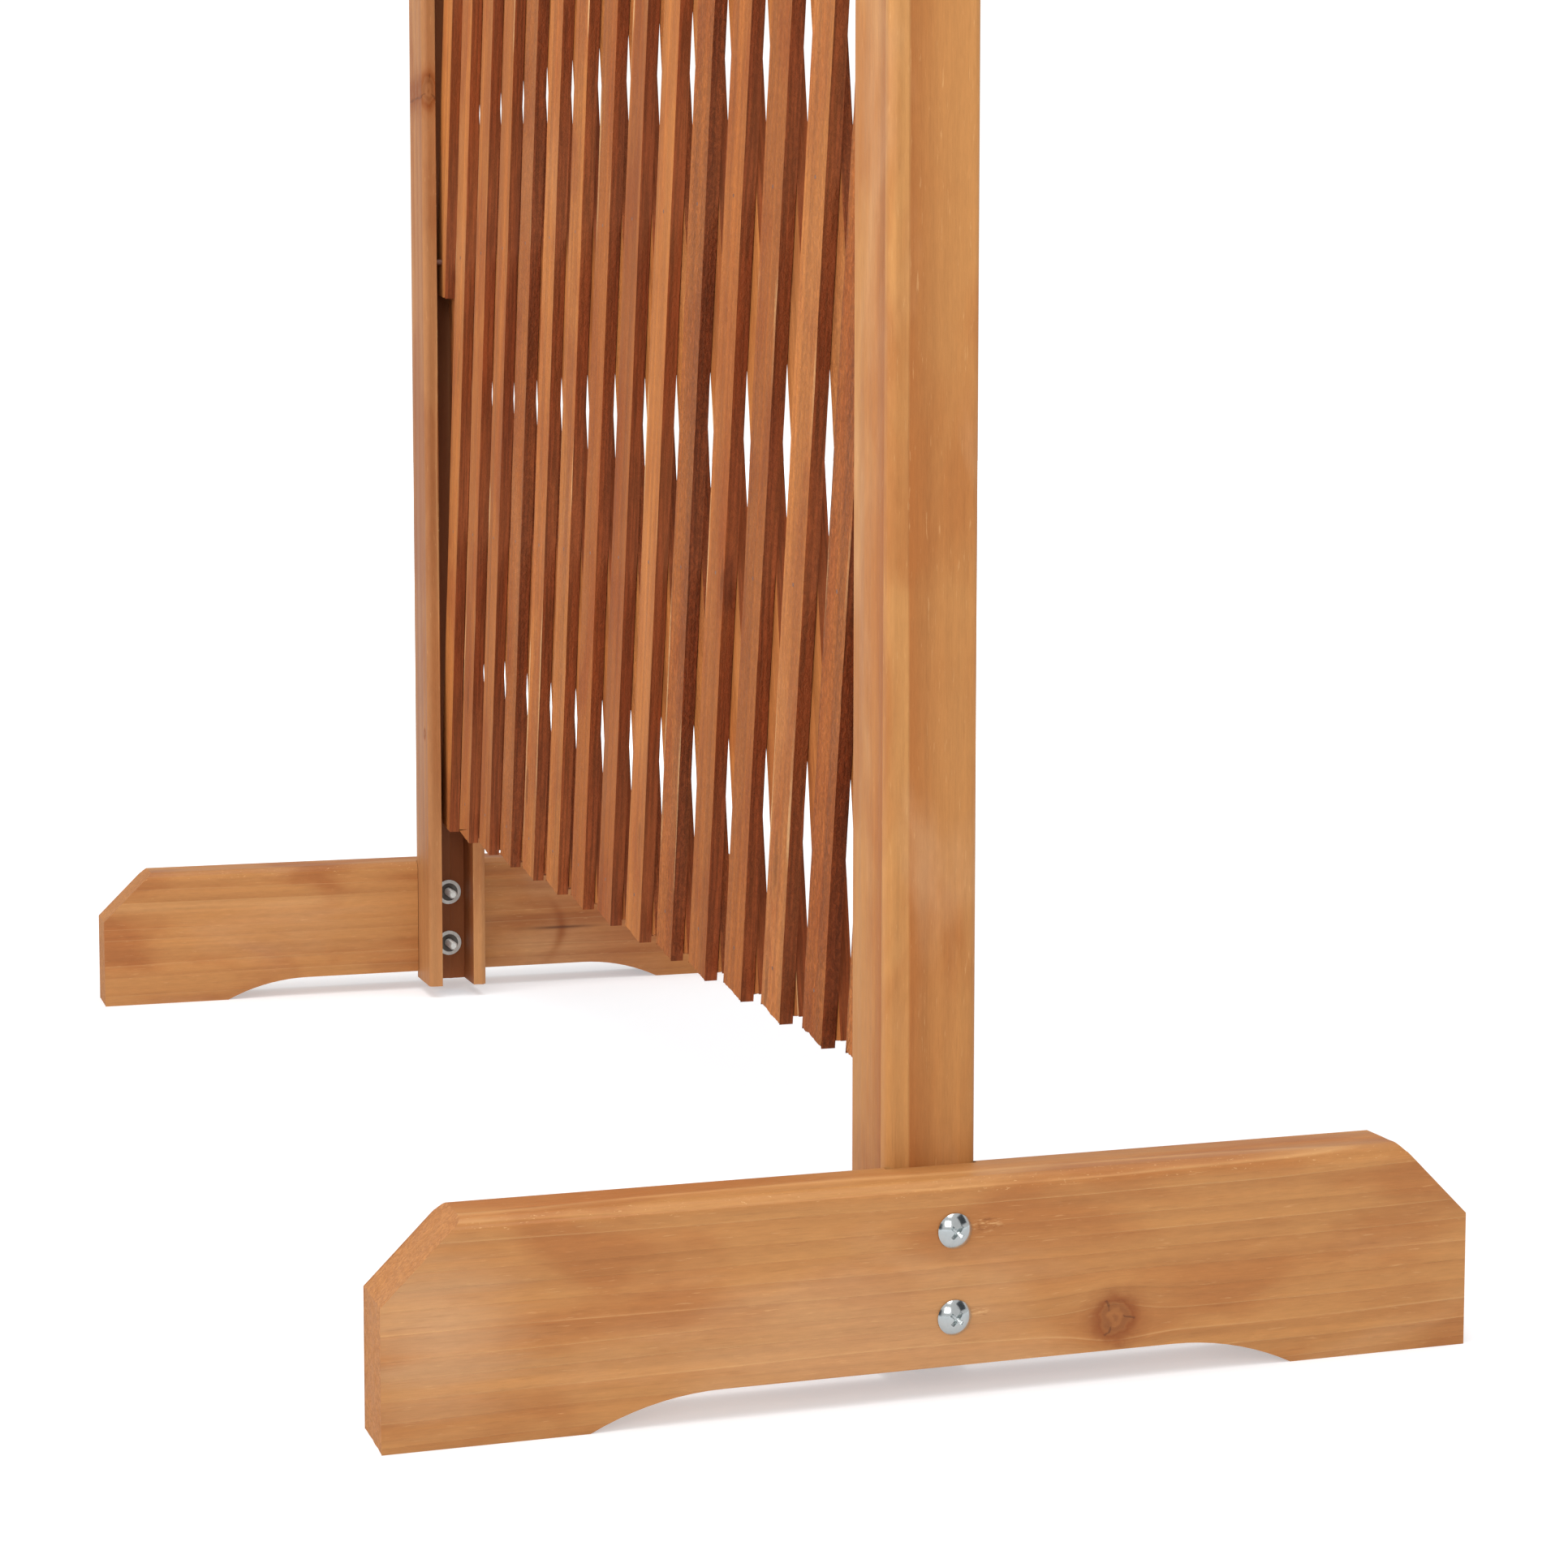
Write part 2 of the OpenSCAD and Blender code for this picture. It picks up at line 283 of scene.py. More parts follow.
def growth_rings():
    """Rings of a trunk that grew along Z: dark late wood, and the pale line where it ends."""
    takes = {"Place": ORIGIN, "Pith": ORIGIN, "Ring Width": 0.006, "Wander": 0.01, "Start": 0.0}
    group, w, given, result = new_effect("growth_rings", takes, "Late", "Line")
    drift = w.sway(w.stretch(given["Place"], 11, 11, 1.7), detail=3)
    from_pith = w.vector("SUBTRACT", given["Place"], given["Pith"])
    from_pith = w.vector("ADD", from_pith, w.times(drift, given["Wander"]))
    radius = w.vector("LENGTH", w.stretch(from_pith, 1, 1, 0), out=1)
    count = w.sum("ADD", w.sum("DIVIDE", radius, given["Ring Width"]), given["Start"])
    uneven = {"W": count, "Scale": 0.8, "Detail": 1.0}
    uneven = w.add("TexNoise", uneven, noise_dimensions="1D").outputs[0]
    age = w.sum("FRACT", w.sum("ADD", uneven, count))
    late = [(0, 0.05), (0.3, 0.0), (0.6, 0.4), (0.95, 1), (0.985, 0.05)]
    line = [(0, 0.9), (0.03, 0.25), (0.09, 0), (0.965, 0), (0.985, 1)]
    w.put(w.ramp(age, late), result["Late"])
    w.put(w.ramp(age, line), result["Line"])
    return group


def fibres():
    """Fine streaks along Z, the short dark pores between them, and pale raised hairs."""
    group, w, given, result = new_effect("fibres", {"Place": ORIGIN}, "Fibre", "Pore", "Hair")
    broad = w.cloud(w.stretch(given["Place"], 420, 420, 14), detail=4, roughness=0.62)
    fine = w.cloud(w.stretch(given["Place"], 1500, 1500, 120), detail=3, roughness=0.65)
    mottle = w.cloud(w.stretch(given["Place"], 420, 420, 130), detail=3, roughness=0.6)
    strands = w.sum("MULTIPLY_ADD", fine, 0.35, w.sum("MULTIPLY", broad, 0.35))
    w.put(w.sum("MULTIPLY_ADD", mottle, 0.3, strands), result["Fibre"])
    pores = w.cloud(w.stretch(given["Place"], 900, 900, 46), detail=2)
    w.put(w.scale(pores, 0.62, 0.74), result["Pore"])
    hairs = w.cloud(w.stretch(given["Place"], 900, 900, 90), detail=3, roughness=0.6)
    w.put(w.scale(hairs, 0.63, 0.74), result["Hair"])
    return group


def stain_clouds():
    """Patches of deeper or shallower stain, drawn out along the grain, and long streaks."""
    takes = {"Place": ORIGIN, "Size": 0.05}
    group, w, given, result = new_effect("stain_clouds", takes, "Deep", "Pale", "Streak")
    sized = w.vector("DIVIDE", given["Place"], w.even(given["Size"]))
    deep = w.cloud(w.stretch(sized, 1.3, 1.3, 0.45), detail=3, roughness=0.5, distortion=0.5)
    w.put(w.scale(deep, 0.42, 0.66), result["Deep"])
    elsewhere = w.vector("ADD", w.stretch(sized, 0.8, 0.8, 0.3), (3.1, 7.7, 1.9))
    pale = w.cloud(elsewhere, detail=4, distortion=0.3)
    w.put(w.scale(pale, 0.5, 0.72), result["Pale"])
    streak = w.cloud(w.stretch(given["Place"], 130, 130, 2.6), detail=4, roughness=0.6)
    w.put(streak, result["Streak"])
    return group


def knot():
    """A knot: how far it bends the grain, its ringed heart, its red halo and its cracks."""
    takes = {"Place": ORIGIN, "Centre": ORIGIN, "Axis": ORIGIN, "Radius": 0.006, "Long": 1.0}
    group, w, given, result = new_effect("knot", takes, "Bend", "Heart", "Halo", "Crack")
    wobble = w.sway(w.stretch(given["Place"], 210, 210, 160), detail=3)
    wobble = w.times(wobble, w.sum("MULTIPLY", given["Radius"], 0.8))
    offset = w.vector("SUBTRACT", given["Place"], given["Centre"])
    beside = w.vector("CROSS_PRODUCT", given["Axis"], (0, 0, 1))

    def around(spot):
        """Across and along the grain, in radii."""
        across = w.sum("DIVIDE", w.vector("DOT_PRODUCT", spot, beside, out=1), given["Radius"])
        along = w.sum("DIVIDE", w.add("SeparateXYZ", {0: spot}).outputs[2], given["Radius"])
        return across, w.sum("DIVIDE", along, given["Long"])

    across, along = around(offset)
    bend = w.bell(w.sum("MULTIPLY", across, 0.7), w.sum("MULTIPLY", along, 0.42))
    w.put(w.sum("MULTIPLY", bend, 0.7), result["Bend"])
    across, along = around(w.vector("ADD", offset, wobble))
    distance = w.sum("SQRT", w.sum("MULTIPLY_ADD", across, across, w.sum("MULTIPLY", along, along)))
    rings = w.scale(w.sum("COSINE", w.sum("MULTIPLY", distance, 10.5)), -1.0, 1.0, 0.25, 1.0)
    w.put(w.sum("MULTIPLY", w.scale(distance, 1.1, 0.85), rings), result["Heart"])
    halo = [(0.0, 0.15), (0.3, 0.45), (0.37, 1.0), (0.47, 0.75), (0.6, 0.3), (0.85, 0.0)]
    w.put(w.ramp(w.sum("MULTIPLY", distance, 0.4), halo), result["Halo"])
    bearing = w.sum("ARCTAN2", across, along)
    rays = w.sum("COSINE", w.sum("MULTIPLY_ADD", distance, 0.3, w.sum("MULTIPLY", bearing, 3.0)))
    reach = w.sum("MULTIPLY", w.scale(distance, 0.35, 0.6), w.scale(distance, 1.15, 0.95))
    w.put(w.sum("MULTIPLY", w.scale(rays, 0.95, 0.995), reach), result["Crack"])
    return group


def spike():
    """A thin branch lying in the face: a dark line with the grain, a reddish smear across it."""
    takes = {"Place": ORIGIN, "Centre": ORIGIN, "Axis": ORIGIN, "Length": 0.015}
    group, w, given, result = new_effect("spike", takes, "Line", "Smear")
    offset = w.vector("SUBTRACT", given["Place"], given["Centre"])
    beside = w.vector("CROSS_PRODUCT", given["Axis"], (0, 0, 1))
    across = w.sum("DIVIDE", w.vector("DOT_PRODUCT", offset, beside, out=1), given["Length"])
    along = w.sum("DIVIDE", w.add("SeparateXYZ", {0: offset}).outputs[2], given["Length"])
    along = w.sum("MULTIPLY_ADD", w.sum("MULTIPLY", across, across), 0.3, along)
    for mark, narrowness, shortness in (("Line", 13.0, 0.62), ("Smear", 0.85, 4.2)):
        spread = w.sum("MULTIPLY", across, narrowness), w.sum("MULTIPLY", along, shortness)
        w.put(w.bell(*spread), result[mark])
    return group


def torn_grain():
    """Where a tool slipped: pale and dark splinters with the grain, in one patch of the face."""
    takes = {"Place": ORIGIN, "Centre": ORIGIN, "Length": 0.008}
    group, w, given, result = new_effect("torn_grain", takes, "Pale", "Dark")
    offset = w.vector("SUBTRACT", given["Place"], given["Centre"])
    apart = w.vector("LENGTH", w.stretch(offset, 2.6, 2.6, 1), out=1)
    ragged = w.cloud(w.stretch(given["Place"], 420, 420, 110), detail=4, roughness=0.7)
    near = w.sum("ADD", w.sum("DIVIDE", apart, given["Length"]), w.sum("MULTIPLY", ragged, 1.1))
    near = w.scale(near, 1.5, 0.9)
    splinters = w.cloud(w.stretch(given["Place"], 1100, 1100, 190), detail=3, roughness=0.7)
    w.put(w.sum("MULTIPLY", near, w.scale(splinters, 0.53, 0.62)), result["Pale"])
    w.put(w.sum("MULTIPLY", near, w.scale(splinters, 0.45, 0.37)), result["Dark"])
    return group


def small_knots():
    """Small oval knots scattered through a strip: dark hearts, with a dull ring round each."""
    group, w, given, result = new_effect("small_knots", {"Place": ORIGIN}, "Heart", "Ring")
    bend = w.times(w.cloud(w.stretch(given["Place"], 160, 160, 60), out=1), 0.12)
    bent = w.vector("ADD", w.stretch(given["Place"], 24, 24, 6), bend)
    apart = w.add("TexVoronoi", {"Vector": bent, "Scale": 1.0}).outputs["Distance"]
    w.put(w.scale(apart, 0.13, 0.05), result["Heart"])
    ring = [(0.0, 0.0), (0.2, 0.2), (0.32, 1.0), (0.42, 0.5), (0.75, 0.0)]
    w.put(w.ramp(w.sum("MULTIPLY", apart, 2.0), ring), result["Ring"])
    return group


def saw_fuzz():
    """The torn, fuzzy face that a coarse saw leaves."""
    group, w, given, result = new_effect("saw_fuzz", {"Place": ORIGIN}, "Fuzz")
    tufts = w.stretch(given["Place"], 540, 540, 310)
    tufts = w.cloud(tufts, detail=3, roughness=0.65, distortion=0.7)
    w.put(w.scale(tufts, 0.3, 0.7), result["Fuzz"])
    return group


def cut_faces():
    """Tells end grain from a board's narrow sides, which face X once the grain is upright."""
    group, w, given, result = new_effect("cut_faces", {"Turn": ORIGIN}, "End", "Side")
    normal = w.turn(w.add("TexCoord").outputs["Normal"], given["Turn"])
    parts = w.add("SeparateXYZ", {0: normal}).outputs
    w.put(w.scale(w.sum("ABSOLUTE", parts[2]), 0.45, 0.7), result["End"])
    w.put(w.scale(w.sum("ABSOLUTE", parts[0]), 0.6, 0.8), result["Side"])
    return group


def arris_wear():
    """Where a rounded arris has lost its stain."""
    group, w, given, result = new_effect("arris_wear", {"Place": ORIGIN}, "Wear")
    patches = w.cloud(w.stretch(given["Place"], 90, 90, 22), detail=5, roughness=0.7)
    chips = w.cloud(w.stretch(given["Place"], 900, 900, 420), detail=3, roughness=0.6)
    arris = w.attribute("arris")
    worn = w.sum("MULTIPLY", w.scale(patches, 0.52, 0.74), w.scale(arris, 0.5, 1.0))
    chipped = w.sum("MULTIPLY", w.scale(chips, 0.63, 0.7), w.scale(patches, 0.4, 0.54))
    chipped = w.sum("MULTIPLY", chipped, w.scale(arris, 0.0, 0.3))
    w.put(w.sum("MAXIMUM", worn, chipped), result["Wear"])
    return group


RINGS, FIBRES, STAIN, FUZZ = growth_rings(), fibres(), stain_clouds(), saw_fuzz()
KNOT, SPIKE, TORN, SMALL_KNOTS = knot(), spike(), torn_grain(), small_knots()
CUT_FACES, ARRIS = cut_faces(), arris_wear()


# Materials

FOOT_SHADES = {
    "early": tint(188, 131, 75),
    "late": tint(158, 98, 50),
    "deep": tint(161, 94, 44),
    "pale": tint(198, 150, 106),
    "line": tint(220, 170, 114),
    "pore": tint(126, 70, 33),
    "end": tint(192, 130, 76),
    "worn": tint(216, 168, 114),
    "heart": tint(136, 80, 40),
    "halo": tint(142, 76, 31),
    "crack": tint(84, 44, 24),
}
# Its deep is darker, also for the painted shade beside the rear post
REAR_FOOT_SHADES = dict(FOOT_SHADES, deep=tint(152, 82, 36))
POST_SHADES = dict(
    FOOT_SHADES, early=tint(190, 133, 76), late=tint(158, 95, 46), deep=tint(163, 96, 45),
)
REAR_POST_SHADES = dict(
    FOOT_SHADES, early=tint(172, 116, 71), late=tint(150, 88, 47), deep=tint(150, 88, 48),
    pale=tint(190, 134, 84),
)
SLAT_SHADES = {
    "early": tint(177, 108, 53),
    "late": tint(151, 84, 37),
    "deep": tint(148, 76, 36),
    "tan": tint(181, 117, 64),
    "pale": tint(184, 120, 71),
    "line": tint(196, 134, 82),
    "pore": tint(84, 38, 18),
    "end": tint(112, 58, 30),
    "worn": tint(216, 168, 116),
    # Darker sides: a deeper stain on the sawn wood, and partly painted shade between the slats
    "side": tint(116, 54, 27),
}
# The groove's colour: a deeper stain on the routed faces, and partly painted shade in the groove
GROOVE_STAIN_AND_SHADE = tint(132, 66, 31)
STAIN_FILM = tint(104, 54, 30)
# Painted shade in the tee nuts' funnels
FUNNEL_PAINTED_SHADE = tint(70, 62, 54)

# How far each lot of wood lies from the last one in the tree
LOT_STEPS = (0.31, 0.17, 2.3)


def wood_place(w, turn):
    """The place in the board, grain upright, moved to another part of the tree for each lot."""
    spot = w.turn(w.add("TexCoord").outputs["Object"], turn)
    lot = w.attribute("lot")
    moved = {axis: w.sum("MULTIPLY", lot, step) for axis, step in enumerate(LOT_STEPS)}
    return w.vector("ADD", spot, w.add("CombineXYZ", moved).outputs[0])


def grow_knots(w, spot, upright, knots):
    """The grain's place once every knot has bent it, and what each knot shows."""
    grain, seen = spot, []
    for centre, axis, radius, long in knots:
        centre, axis = upright @ Vector(centre), upright @ axis
        place = {"Centre": tuple(centre), "Axis": tuple(axis), "Radius": radius, "Long": long}
        mark = w.effect(KNOT, Place=spot, **place)
        aside = w.vector("SUBTRACT", grain, tuple(centre))
        aside = w.stretch(aside, 1 - abs(axis.x), 1 - abs(axis.y), 0)
        grain = w.vector("SUBTRACT", grain, w.times(aside, mark["Bend"]))
        seen.append(mark)
    return grain, seen


def sawn_strip(w, spot, shades, stain, fuzz, side_faces, colour, shade):
    """The looks of a slat: rough faces, dark sides, bare long edges, and small knots."""
    coarse, tone = w.attribute("coarse"), w.attribute("tone")
    ragged = w.sum("MULTIPLY", w.sum("SUBTRACT", fuzz, 0.5), coarse)
    shade = w.sum("MULTIPLY_ADD", ragged, 0.5, shade)
    shade = w.sum("MULTIPLY", shade, w.scale(stain["Streak"], 0.35, 0.65, 0.9, 1.1, smooth=False))
    colour = w.mix(w.scale(tone, -0.5, 0.1, 0.5, 0.0), colour, shades["deep"])
    colour = w.mix(w.scale(tone, 0.0, 0.5, 0.0, 0.45), colour, shades["tan"])

    # The narrow sides: a deeper stain, and partly painted shade between the slats
    streaks = w.scale(w.cloud(w.stretch(spot, 700, 700, 24), detail=4), 0.35, 0.65, 0.7, 1.25)
    streaks = w.sum("MULTIPLY", streaks, w.sum("MULTIPLY_ADD", coarse, -0.2, 1.2))
    colour = w.lay(colour, side_faces, 0.85, w.dim(shades["side"], streaks))

    edge = w.cloud(w.stretch(spot, 260, 260, 10), detail=3)
    edge = w.sum("MULTIPLY_ADD", edge, 0.8, w.sum("ABSOLUTE", w.attribute("off_line")))
    some = w.scale(w.cloud(w.stretch(spot, 9, 9, 6)), 0.6, 0.66)
    bare = w.sum("MULTIPLY", w.scale(edge, 1.24, 1.38), some)
    bare = w.sum("MULTIPLY", bare, w.scale(side_faces, 0.5, 0.0))
    colour = w.lay(colour, bare, 0.75, shades["worn"])

    eye = w.effect(SMALL_KNOTS, Place=spot)
    colour = w.lay(colour, eye["Ring"], 0.45, shades["deep"])
    return w.lay(colour, eye["Heart"], 0.5, shades["pore"]), shade


def stained_wood(
    name, shades, turn, rings, cloud_size, bands=0.85, lines=1.0, pores=0.4,
    knots=(), spikes=(), torn=(), patches=(), gloss=0.5, shine=0.3,
):
    """A board's wood. Turn stands its grain upright, and rings are the inputs of the growth rings.

    A knot is its centre, axis, radius and drawing out along the grain, a spike its centre, axis and
    length, a torn place its centre and reach, and a patch its centre, reach and shade. All of them
    are in the model's frame. Shades with a side are those of a slat."""
    material, w, surface = new_material(name)
    surface.inputs["Specular IOR Level"].default_value = shine
    upright = Euler(turn).to_matrix()

    def stood(spot):
        return tuple(upright @ Vector(spot))

    spot = wood_place(w, turn)
    grain, seen = grow_knots(w, spot, upright, knots)
    ring = w.effect(RINGS, Place=grain, **dict(rings, Pith=stood(rings["Pith"])))
    fibre = w.effect(FIBRES, Place=grain)
    stain = w.effect(STAIN, Place=grain, Size=cloud_size)
    faces = w.effect(CUT_FACES, Turn=turn)
    fuzz = w.effect(FUZZ, Place=spot)["Fuzz"]
    wear = w.effect(ARRIS, Place=spot)["Wear"]

    colour = w.lay(shades["early"], ring["Late"], bands, shades["late"])
    colour = w.lay(colour, stain["Deep"], 0.6, shades["deep"])
    colour = w.lay(colour, stain["Pale"], 0.5, shades["pale"])
    for centre, reach, shade in patches:
        away = w.vector("DISTANCE", spot, stood(centre), out=1)
        away = w.sum("MULTIPLY_ADD", stain["Streak"], reach, away)
        colour = w.mix(w.scale(away, reach * 1.5, reach * 0.5, 0.0, 0.75), colour, shades[shade])
    broken = w.cloud(w.stretch(spot, 50, 50, 7), detail=3)
    broken = w.scale(broken, 0.4, 0.6, 0.15 * lines, 0.85 * lines)
    colour = w.lay(colour, ring["Line"], broken, shades["line"])
    colour = w.lay(colour, fibre["Pore"], pores, shades["pore"])
    colour = w.lay(colour, fibre["Hair"], 0.3, shades["line"])
    for mark in seen:
        for part, weight in (("Halo", 0.95), ("Heart", 0.7), ("Crack", 0.5)):
            colour = w.lay(colour, mark[part], weight, shades[part.lower()])
    for centre, reach in torn:
        slip = w.effect(TORN, Place=spot, Centre=stood(centre), Length=reach)
        colour = w.lay(colour, slip["Pale"], 0.6, shades["worn"])
        colour = w.lay(colour, slip["Dark"], 0.6, shades["pore"])
    for centre, axis, length in spikes:
        branch = w.effect(SPIKE, Place=spot, Centre=stood(centre), Axis=stood(axis), Length=length)
        colour = w.lay(colour, branch["Smear"], 0.8, shades["halo"])
        colour = w.lay(colour, branch["Line"], 0.8, shades["crack"])

    shade = w.scale(fibre["Fibre"], 0.3, 0.7, 0.88, 1.12, smooth=False)
    streak = w.scale(stain["Streak"], 0.3, 0.7, 0.92, 1.08, smooth=False)
    shade = w.sum("MULTIPLY", shade, streak)
    shade = w.sum("MULTIPLY", shade, w.sum("MULTIPLY_ADD", w.attribute("tone"), 0.2, 1.0))
    if "side" in shades:
        colour, shade = sawn_strip(w, spot, shades, stain, fuzz, faces["Side"], colour, shade)
    colour = w.dim(colour, shade)
    # Darker in the groove: a deeper stain, and partly painted shade
    colour = w.lay(colour, w.attribute("groove"), 0.75, GROOVE_STAIN_AND_SHADE)
    ends = w.mix(w.scale(fuzz, 0.1, 0.9, 0.0, 0.4), shades["end"], shades["pore"])
    colour = w.lay(colour, faces["End"], 0.8, ends)
    colour = w.lay(colour, wear, 0.7, shades["worn"])
    w.put(colour, surface.inputs["Base Color"])

    dullness = w.scale(stain["Streak"], 0.3, 0.7, gloss - 0.08, gloss + 0.1)
    dullness = w.sum("ADD", dullness, w.sum("MULTIPLY", faces["End"], 0.25), clamp=True)
    w.put(dullness, surface.inputs["Roughness"])
    height = w.sum("MULTIPLY_ADD", fibre["Fibre"], 0.5, w.sum("MULTIPLY", ring["Line"], 0.35))
    torn_up = w.sum("MULTIPLY_ADD", w.attribute("coarse"), 1.6, faces["End"])
    height = w.sum("MULTIPLY_ADD", fuzz, torn_up, height)
    bump = w.add("Bump", {"Strength": 0.6, "Distance": 0.0007, "Height": height})
    w.put(bump.outputs[0], surface.inputs["Normal"])
    return material


def zinc(name, shade, roughness, clouded, bright=1.0, stained=False):
    """Zinc plate, more or less clouded. Stained, it carries a film of the wood's brown stain."""
    material, w, surface = new_material(name)
    spot = w.add("TexCoord").outputs["Object"]
    clouding = w.cloud(w.stretch(spot, 420, 420, 420), detail=4, roughness=0.6)
    dull = tuple(level * (1 - clouded) for level in shade[:3]) + (1,)
    colour = w.mix(w.scale(clouding, 0.4, 0.75), shade, dull)
    # Painted shade on faces marked as a groove: the walls of the tee nuts' funnels
    colour = w.lay(colour, w.attribute("groove"), 0.8, FUNNEL_PAINTED_SHADE)
    if stained:
        film = w.cloud(w.stretch(spot, 900, 900, 900), detail=2)
        film = w.scale(film, 0.35, 0.6, 0.85, 1.0)
        colour = w.mix(film, colour, STAIN_FILM)
        w.put(w.sum("SUBTRACT", 1.0, film), surface.inputs["Metallic"])
    else:
        surface.inputs["Metallic"].default_value = bright
    w.put(colour, surface.inputs["Base Color"])
    rough = w.scale(clouding, 0.3, 0.75, roughness, roughness + clouded * 0.6)
    w.put(rough, surface.inputs["Roughness"])
    scratches = w.cloud(w.stretch(spot, 2600, 2600, 2600), detail=2)
    bump = w.add("Bump", {"Strength": 0.15, "Distance": 0.0001, "Height": scratches})
    w.put(bump.outputs[0], surface.inputs["Normal"])
    return material


# Shapes of wood


def whole_faces(node):
    """A CAD node's mesh with its flat faces in one piece, and layers for what the finish needs."""
    shape = bmesh.new()
    shape.from_mesh(frame["nodes"][node].data)
    bmesh.ops.remove_doubles(shape, verts=shape.verts, dist=WELD)
    bmesh.ops.dissolve_limit(
        shape, angle_limit=FLAT_ANGLE, verts=shape.verts, edges=shape.edges,
        use_dissolve_boundaries=False,
    )
    for layer in ("arris", "tone", "lot", "coarse", "groove"):
        shape.faces.layers.float.new(layer)
    return shape


def round_arrises(shape, chosen, width):
    """Rounds the chosen edges, and marks the new faces as an arris."""
    edges = [e for e in shape.edges if len(e.link_faces) == 2 and e.is_convex and chosen(e)]
    made = bmesh.ops.bevel(
        shape, geom=edges, affect="EDGES", offset=width, offset_type="OFFSET", segments=2,
        profile=0.5, clamp_overlap=True,
    )
    arris = shape.faces.layers.float["arris"]
    for face in made["faces"]:
        face[arris] = 1.0


def cut_across(shape, faces, direction, step):
    """Cuts faces into strips across a direction. Their neighbours share the new corners."""
    places = [corner.co.dot(direction) for face in faces for corner in face.verts]
    low, high = min(places), max(places)
    count = max(1, round((high - low) / step))
    done = []
    for k in range(1, count):
        at = low + (high - low) * k / count
        parts = dict.fromkeys(faces)
        for face in faces:
            parts.update(dict.fromkeys(face.edges))
            parts.update(dict.fromkeys(face.verts))
        cut = bmesh.ops.bisect_plane(
            shape, geom=list(parts), dist=1e-7, plane_co=direction * at, plane_no=direction
        )
        faces = [part for part in cut["geom"] if isinstance(part, bmesh.types.BMFace)]
        done += [face for face in faces if face.calc_center_median().dot(direction) < at]
        faces = [face for face in faces if face.calc_center_median().dot(direction) > at]
    return done + faces


def fray_ends(shape, grain, reach, cell, depth, lot):
    """Makes the sawn ends uneven: cuts their faces into cells, and presses these in by up to depth.

    Reach is how far from the very end such a face may lie. Gives the faces to be shaded flat."""
    places = [corner.co.dot(grain) for corner in shape.verts]
    low, high = min(places), max(places)
    ends = []
    for face in shape.faces:
        at = face.calc_center_median().dot(grain)
        if abs(face.normal.dot(grain)) > 0.5 and min(at - low, high - at) < reach:
            ends.append(face)
    first = Y.cross(grain).normalized() if abs(grain.dot(Y)) < 0.5 else X.copy()
    for direction in (first, grain.cross(first).normalized()):
        ends = cut_across(shape, ends, direction, cell)
    pressed = {}
    for face in ends:
        for corner in face.verts:
            pressed[corner] = math.copysign(1.0, face.normal.dot(grain))
    for corner, sign in pressed.items():
        seed = Vector((lot, lot * 1.7, 0))
        torn = 0.5 + 0.5 * noise.noise(corner.co * TEARS_A_METRE + seed)
        wave = 0.5 + 0.5 * noise.noise(corner.co * WAVES_A_METRE + seed)
        corner.co -= grain * (sign * depth * (0.4 * torn + 0.6 * wave))
    met = {face for corner in pressed for face in corner.link_faces}
    return {face for face in met if face in ends or abs(face.normal.dot(grain)) < 0.01}


def stand_for(shape, node, material, name=None, flat=()):
    """Makes the finished shape the piece that stands for a CAD node, on the node's own body."""
    name = name or node + "_wood"
    mesh = bpy.data.meshes.new(name)
    for face in shape.faces:
        face.smooth = face not in flat
    shape.normal_update()
    shape.to_mesh(mesh)
    shape.free()
    mesh.set_sharp_from_angle(angle=SMOOTH_ANGLE)
    mesh.materials.append(material)
    piece = bpy.data.objects.new(name, mesh)
    scene.collection.objects.link(piece)
    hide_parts(node)
    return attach(piece, body_of[node])


def foot(node, material, lot):
    """A foot with eased lower arrises, a worn rounded top, and rough sawn ends."""
    shape = whole_faces(node)

    def sawn_edge(edge):
        """Where the outer or inner face meets a sawn end, a cut corner or the underside."""
        normals = [face.normal for face in edge.link_faces]
        sawn = min(n.z for n in normals) < -0.5 or max(abs(n.y) for n in normals) > 0.6
        return max(abs(n.x) for n in normals) > 0.95 and sawn

    round_arrises(shape, sawn_edge, FOOT_ARRIS)
    arris = shape.faces.layers.float["arris"]
    for face in shape.faces:
        if min(abs(face.normal.x), face.normal.z) > 0.05:
            face[arris] = FOOT_TOP_WEAR
    sawn = fray_ends(shape, Y, lot=lot, **FOOT_ENDS)
    return stand_for(shape, node, material, flat=sawn)


def post(node, material, lot):
    """A post with eased long edges, its groove darker by stain and painted shade, and rough sawn
    ends.
    """
    shape = whole_faces(node)

    def long_edge(edge):
        run = (edge.verts[1].co - edge.verts[0].co).normalized()
        return abs(run.z) > 0.99 and edge.calc_length() > 0.05 and edge.calc_face_angle(0) > 1

    round_arrises(shape, long_edge, POST_ARRIS)
    # Faces inside the groove are marked for the darker colour, which is partly painted shade
    groove = shape.faces.layers.float["groove"]
    for face in shape.faces:
        middle = face.calc_center_median()
        between = abs(middle.y) < GROOVE_HALF_WIDTH + 0.0001
        deep = POST_MOUTH_X + 0.001 < abs(middle.x) < POST_OUTER_X - 0.001
        if between and deep and abs(face.normal.z) < 0.5:
            face[groove] = 1.0
    sawn = fray_ends(shape, Z, lot=lot, **POST_ENDS)
    return stand_for(shape, node, material, flat=sawn)


